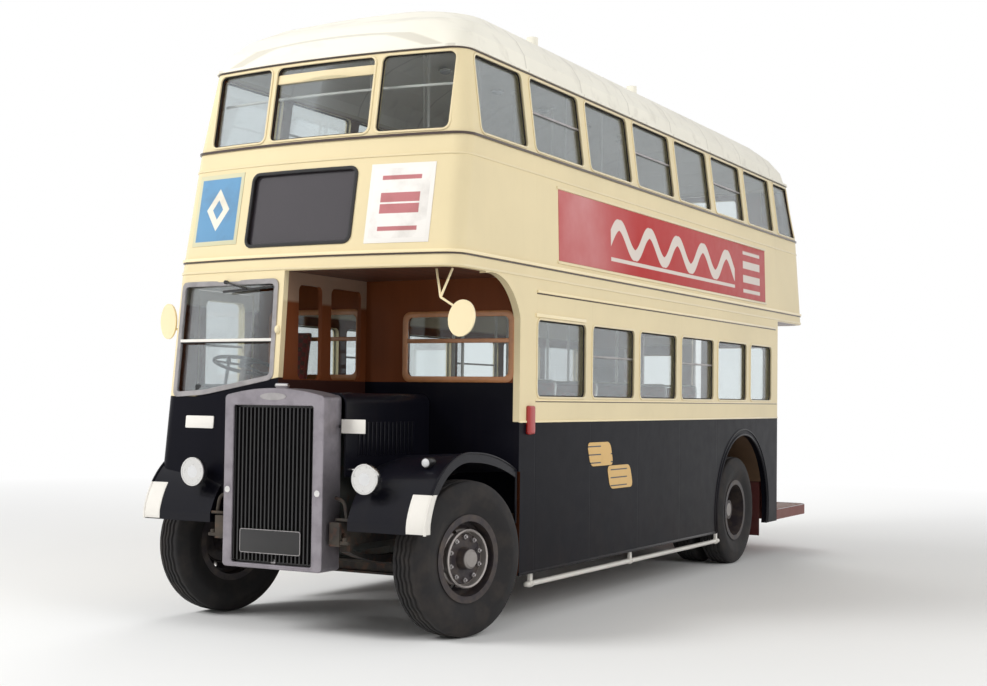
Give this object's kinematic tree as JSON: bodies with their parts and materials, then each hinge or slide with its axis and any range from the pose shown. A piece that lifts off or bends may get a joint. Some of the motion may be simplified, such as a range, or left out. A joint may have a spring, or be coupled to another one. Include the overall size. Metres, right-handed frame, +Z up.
{
  "type": "half-cab double decker bus",
  "caption": "Two-deck passenger bus with a half-width cab beside the bonnet, upright radiator and open rear platform.",
  "frame": {"origin": "on the road under the middle of the bus's overall box", "axes": "+Z up; the bus faces -Y; +X is its nearside, with the open platform; its length runs along Y"},
  "size_m": [2.5383, 8, 4.37],
  "materials": {
    "cream_paint": "gloss",
    "roof_paint": "gloss",
    "blue_black_paint": "gloss",
    "two_tone_paint": "gloss",
    "dull_metal": "satin",
    "chassis_black": "satin",
    "glass": "gloss",
    "dark_glass": "gloss",
    "tyre_rubber": "matte",
    "varnished_wood": "satin",
    "seat_leather": "satin",
    "chrome": "polished",
    "white_paint": "gloss",
    "step_red": "satin",
    "mud_rubber": "matte",
    "engine_grey": "rough"
  },
  "bodies": {
    "body": {"cab_floor": "chassis_black", "cab_inner_side": "varnished_wood", "cab_shell": "two_tone_paint", "chassis_frame": "chassis_black", "destination_box": "cream_paint", "destination_glass": "dark_glass", "driveline": "chassis_black", "engine": "engine_grey", "exhaust": "engine_grey", "front_axle": "chassis_black", "front_bulkhead": "varnished_wood", "front_wings": "blue_black_paint", "fuel_tank": "chassis_black", "glass_bulkheads": "glass", "glass_front": "glass", "glass_sides": "glass", "guard_rails": "white_paint", "headlamps": "chrome", "leaf_springs": "chassis_black", "lower_floor": "varnished_wood", "lower_side_nearside": "two_tone_paint", "lower_side_offside": "two_tone_paint", "mirrors": "cream_paint", "mud_flaps": "mud_rubber", "platform": "step_red", "platform_poles": "chrome", "radiator_shell": "dull_metal", "radiator_slats": "chassis_black", "rear_axle": "chassis_black", "rear_bulkhead": "varnished_wood", "rear_lower_panel": "two_tone_paint", "roof": "roof_paint", "seat_pads": "seat_leather", "seat_stands": "chassis_black", "staircase": "step_red", "upper_floor": "varnished_wood", "upper_front_body": "cream_paint", "upper_rear_body": "cream_paint", "upper_side_nearside": "cream_paint", "upper_side_offside": "cream_paint"},
    "knuckle_nearside": {"knuckle_nearside": "chassis_black"},
    "knuckle_offside": {"knuckle_offside": "chassis_black"},
    "track_rod": {"track_rod": "chassis_black"},
    "front_wheel_nearside": {"tyre_front_nearside": "tyre_rubber", "wheel_front_nearside": "dull_metal"},
    "front_wheel_offside": {"tyre_front_offside": "tyre_rubber", "wheel_front_offside": "dull_metal"},
    "rear_wheels_nearside": {"tyres_rear_nearside": "tyre_rubber", "wheels_rear_nearside": "dull_metal"},
    "rear_wheels_offside": {"tyres_rear_offside": "tyre_rubber", "wheels_rear_offside": "dull_metal"},
    "steering_wheel": {"steering_wheel": "chassis_black"},
    "bonnet": {"bonnet": "blue_black_paint"},
    "cab_door": {"cab_door": "two_tone_paint", "cab_door_glass": "glass"},
    "emergency_window": {"emergency_window": "cream_paint", "emergency_glass": "glass"}
  },
  "joints": [
    {"name": "steer_nearside", "type": "hinge", "parent": "body", "child": "knuckle_nearside", "pos_m": [0.8, -3.27, 0.508], "axis": [0, 0, 1], "range_deg": [-22, 48]},
    {"name": "steer_offside", "type": "hinge", "parent": "body", "child": "knuckle_offside", "pos_m": [-0.8, -3.27, 0.508], "axis": [0, 0, 1], "range_deg": [-22, 48]},
    {"name": "track_rod_pivot", "type": "hinge", "parent": "knuckle_nearside", "child": "track_rod", "pos_m": [0.84049, -3.09461, 0.3957], "axis": [0, 0, 1], "range_deg": [-48, 22]},
    {"name": "wheel_spin_front_nearside", "type": "hinge", "parent": "knuckle_nearside", "child": "front_wheel_nearside", "pos_m": [0.99487, -3.31499, 0.508], "axis": [0.9744, -0.225, 0], "continuous": true},
    {"name": "wheel_spin_front_offside", "type": "hinge", "parent": "knuckle_offside", "child": "front_wheel_offside", "pos_m": [-0.99487, -3.22501, 0.508], "axis": [0.9744, -0.225, 0], "continuous": true},
    {"name": "wheel_spin_rear_nearside", "type": "hinge", "parent": "body", "child": "rear_wheels_nearside", "pos_m": [0.823, 1.88, 0.508], "axis": [1, 0, 0], "continuous": true},
    {"name": "wheel_spin_rear_offside", "type": "hinge", "parent": "body", "child": "rear_wheels_offside", "pos_m": [-0.823, 1.88, 0.508], "axis": [1, 0, 0], "continuous": true},
    {"name": "steering_wheel_turn", "type": "hinge", "parent": "body", "child": "steering_wheel", "pos_m": [-0.7, -3.41506, 1.75592], "axis": [0, 0.2588, 0.9659], "range_deg": [-265, 577]},
    {"name": "bonnet_lift", "type": "hinge", "parent": "body", "child": "bonnet", "pos_m": [-0.1, -3.3, 1.56], "axis": [0, -1, 0], "range_deg": [0, 60]},
    {"name": "cab_door_swing", "type": "hinge", "parent": "body", "child": "cab_door", "pos_m": [-1.118, -2.851, 1.78], "axis": [0, 0, -1], "range_deg": [0, 80]},
    {"name": "emergency_window_lift", "type": "hinge", "parent": "body", "child": "emergency_window", "pos_m": [0, 3.719, 3.817], "axis": [1, 0, 0], "range_deg": [0, 75]}
  ],
  "couplings": [
    {"joint": "steer_offside", "follows": "steer_nearside", "ratio": 1},
    {"joint": "track_rod_pivot", "follows": "steer_nearside", "ratio": -1},
    {"joint": "steering_wheel_turn", "follows": "steer_nearside", "ratio": 12}
  ]
}
